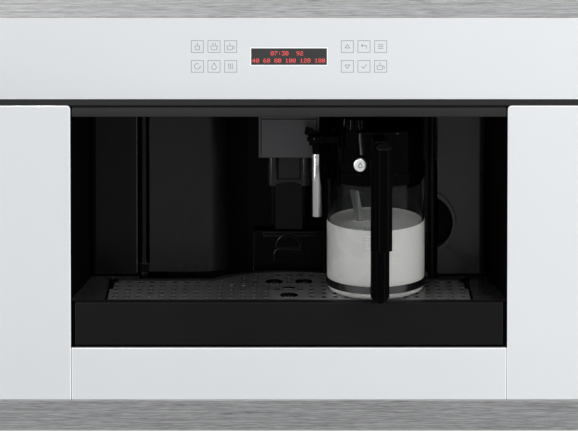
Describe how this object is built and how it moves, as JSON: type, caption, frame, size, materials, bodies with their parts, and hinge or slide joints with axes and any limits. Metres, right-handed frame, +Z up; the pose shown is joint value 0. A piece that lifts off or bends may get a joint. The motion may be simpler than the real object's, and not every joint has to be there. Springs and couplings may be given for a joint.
{
  "type": "built-in coffee machine",
  "caption": "Built-in bean-to-cup coffee machine with a white glass front, steel trims, an open cup bay with a height-adjustable spout, a milk jug and a slide-out water tank.",
  "frame": {"origin": "middle of the base: half way across the front, half way between the foremost point of the jug's grip and the casing's back, at the niche floor", "axes": "+X to the right seen from the front, +Y back into the niche, +Z up; the front faces -Y"},
  "size_m": [0.595, 0.427, 0.455],
  "materials": {
    "brushed_steel": "brushed",
    "white_glass": "polished, opaque coating behind",
    "smoked_window": "polished",
    "black_gloss": "gloss",
    "black_satin": "satin",
    "black_panel": "satin",
    "dark_plate": "fine satin",
    "chrome": "polished",
    "silver_button": "metallised",
    "clear_glass": "clear",
    "clear_plastic": "clear",
    "grid_steel": "dark polished",
    "dark_band": "dark polished",
    "zinc_sheet": "zinc-coated sheet",
    "runner_zinc": "bright zinc",
    "circuit_green": "circuit board",
    "cast_aluminium": "cast",
    "grey_plastic": "moulded",
    "pump_brass": "machined",
    "smoked_plastic": "clear, smoked"
  },
  "bodies": {
    "cabinet_runners": {"right_runner_outer": "runner_zinc", "left_runner_outer": "runner_zinc"},
    "runner_middles": {"right_runner_middle": "runner_zinc", "left_runner_middle": "runner_zinc"},
    "coffee_spout": {"spout_cover": "dark_plate", "spout_carriage": "black_satin"},
    "service_door": {"service_door": "black_panel"},
    "drip_tray": {"drip_tray": "black_gloss", "tray_fascia": "black_satin", "cup_grid": "grid_steel", "grounds_container": "black_gloss"},
    "water_tank": {"water_tank": "clear_plastic", "tank_lid": "grey_plastic", "tank_front": "black_panel"},
    "milk_jug": {"jug_glass": "clear_glass", "jug_base_band": "dark_band", "jug_handle": "black_gloss", "jug_grip": "black_gloss", "jug_lid": "black_gloss", "milk_intake_tube": "clear_plastic"},
    "froth_dial": {"froth_dial": "black_gloss"},
    "clean_button": {"clean_button": "silver_button"},
    "milk_spout": {"milk_spout_knuckle": "black_gloss", "milk_spout_tube": "chrome"},
    "bean_lid": {"bean_lid": "smoked_plastic"},
    "powder_flap": {"powder_flap": "black_satin"},
    "grind_knob": {"grind_knob": "black_satin"},
    "main_switch": {"main_switch": "black_gloss"},
    "machine": {"top_trim": "brushed_steel", "bottom_trim": "brushed_steel", "control_panel_glass": "white_glass", "right_column_glass": "white_glass", "left_column_glass": "white_glass", "lower_panel_glass": "white_glass", "display_window": "smoked_window", "left_post": "black_gloss", "front_frame": "black_satin", "header_bar": "black_satin", "cavity_liner": "black_satin", "power_inlet": "black_satin", "left_fixed_panel": "black_panel", "right_inner_panel": "black_panel", "recess_back": "black_panel", "steam_nozzle": "chrome", "base_plate": "zinc_sheet", "right_side_panel": "zinc_sheet", "left_side_panel": "zinc_sheet", "back_panel": "zinc_sheet", "top_cover": "zinc_sheet", "right_runner_inner": "runner_zinc", "left_runner_inner": "runner_zinc", "touch_display_board": "circuit_green", "power_board": "circuit_green", "grinder": "cast_aluminium", "boilers": "cast_aluminium", "brew_unit": "grey_plastic", "suction_hose": "grey_plastic", "coffee_pipe": "grey_plastic", "water_pump": "pump_brass", "bean_hopper": "smoked_plastic"}
  },
  "joints": [
    {"name": "machine_pull_out", "type": "slide", "parent": "cabinet_runners", "child": "machine", "axis": [0, -1, 0], "range_m": [0, 0.36]},
    {"name": "runner_middles_slide", "type": "slide", "parent": "cabinet_runners", "child": "runner_middles", "axis": [0, -1, 0], "range_m": [0, 0.18]},
    {"name": "spout_height", "type": "slide", "parent": "machine", "child": "coffee_spout", "axis": [0, 0, -1], "range_m": [0, 0.045]},
    {"name": "service_door_hinge", "type": "hinge", "parent": "machine", "child": "service_door", "pos_m": [-0.1485, -0.07903, 0.2343], "axis": [0, 0, -1], "range_deg": [0, 90]},
    {"name": "drip_tray_slide", "type": "slide", "parent": "machine", "child": "drip_tray", "axis": [0, -1, 0], "range_m": [0, 0.2]},
    {"name": "water_tank_slide", "type": "slide", "parent": "machine", "child": "water_tank", "axis": [0, -1, 0], "range_m": [0, 0.38]},
    {"name": "milk_jug_slide", "type": "slide", "parent": "machine", "child": "milk_jug", "axis": [0, -1, 0], "range_m": [0, 0.14]},
    {"name": "froth_dial_turn", "type": "hinge", "parent": "milk_jug", "child": "froth_dial", "pos_m": [0.0666, -0.16453, 0.318], "axis": [0, 0, 1], "range_deg": [-75, 75]},
    {"name": "clean_button_press", "type": "slide", "parent": "milk_jug", "child": "clean_button", "axis": [0, 1, 0], "range_m": [0, 0.0025], "stiffness_N_per_m": 400, "springref_m": -0.001},
    {"name": "milk_spout_swing", "type": "hinge", "parent": "milk_jug", "child": "milk_spout", "pos_m": [0.028, -0.15653, 0.3], "axis": [-1, 0, 0], "range_deg": [0, 45]},
    {"name": "bean_lid_hinge", "type": "hinge", "parent": "machine", "child": "bean_lid", "pos_m": [-0.14, 0.12547, 0.4433], "axis": [-1, 0, 0], "range_deg": [0, 85]},
    {"name": "powder_flap_hinge", "type": "hinge", "parent": "machine", "child": "powder_flap", "pos_m": [-0.033, 0.11747, 0.4427], "axis": [-1, 0, 0], "range_deg": [0, 85]},
    {"name": "grind_knob_turn", "type": "hinge", "parent": "machine", "child": "grind_knob", "pos_m": [-0.046, 0.04747, 0.443], "axis": [0, 0, 1], "range_deg": [-60, 60]},
    {"name": "main_switch_rock", "type": "hinge", "parent": "machine", "child": "main_switch", "pos_m": [-0.161, 0.20897, 0.06], "axis": [1, 0, 0], "range_deg": [0, 13.5]}
  ],
  "couplings": [
    {"joint": "runner_middles_slide", "follows": "machine_pull_out", "ratio": 0.5}
  ]
}
